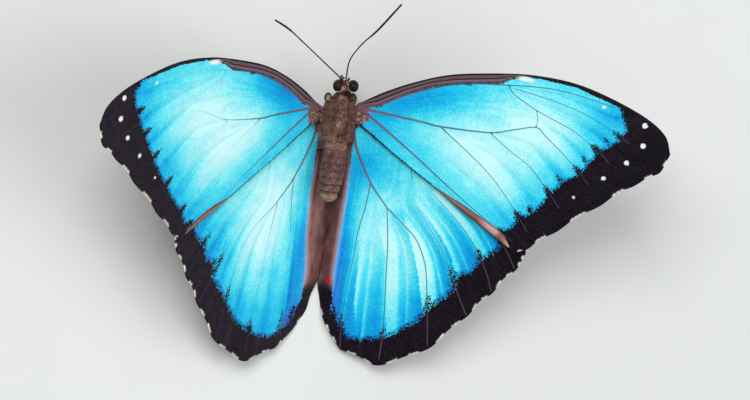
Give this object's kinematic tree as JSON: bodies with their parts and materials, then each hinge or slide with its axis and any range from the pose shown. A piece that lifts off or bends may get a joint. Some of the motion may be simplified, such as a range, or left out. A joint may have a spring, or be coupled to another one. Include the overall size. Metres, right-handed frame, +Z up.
{
  "type": "blue morpho butterfly, life-size still model",
  "caption": "Life-size blue morpho butterfly basking with its wings raised in a shallow V, standing on its legs and the rear edges of its hindwings.",
  "frame": {"origin": "centre of the model's plan at floor level", "axes": "+X to the butterfly's right, +Y the way its head points, +Z up"},
  "size_m": [0.126, 0.0783, 0.0432],
  "materials": {
    "head_scales": "brown scales and hairs, matt",
    "eye_facets": "glossy dark facets",
    "thorax_scales": "grey-brown hairs, matt",
    "abdomen_scales": "grey-brown scales, matt",
    "feeler_cuticle": "dark ringed cuticle",
    "palp_scales": "reddish brown scales",
    "proboscis_cuticle": "dark brown cuticle",
    "leg_cuticle": "brown scaled cuticle",
    "wing_scales": "bright metallic blue scales with a near-black border above, brown with ringed eyespots below"
  },
  "bodies": {
    "root": {"head": "head_scales", "eye_left": "eye_facets", "eye_right": "eye_facets", "thorax": "thorax_scales", "abdomen": "abdomen_scales", "antenna_left": "feeler_cuticle", "antenna_right": "feeler_cuticle", "palp_left": "palp_scales", "palp_right": "palp_scales", "proboscis": "proboscis_cuticle", "foreleg_left": "leg_cuticle", "foreleg_right": "leg_cuticle", "midleg_left": "leg_cuticle", "midleg_right": "leg_cuticle", "hindleg_left": "leg_cuticle", "hindleg_right": "leg_cuticle", "forewing_left": "wing_scales", "forewing_right": "wing_scales", "hindwing_left": "wing_scales", "hindwing_right": "wing_scales"}
  },
  "joints": []
}
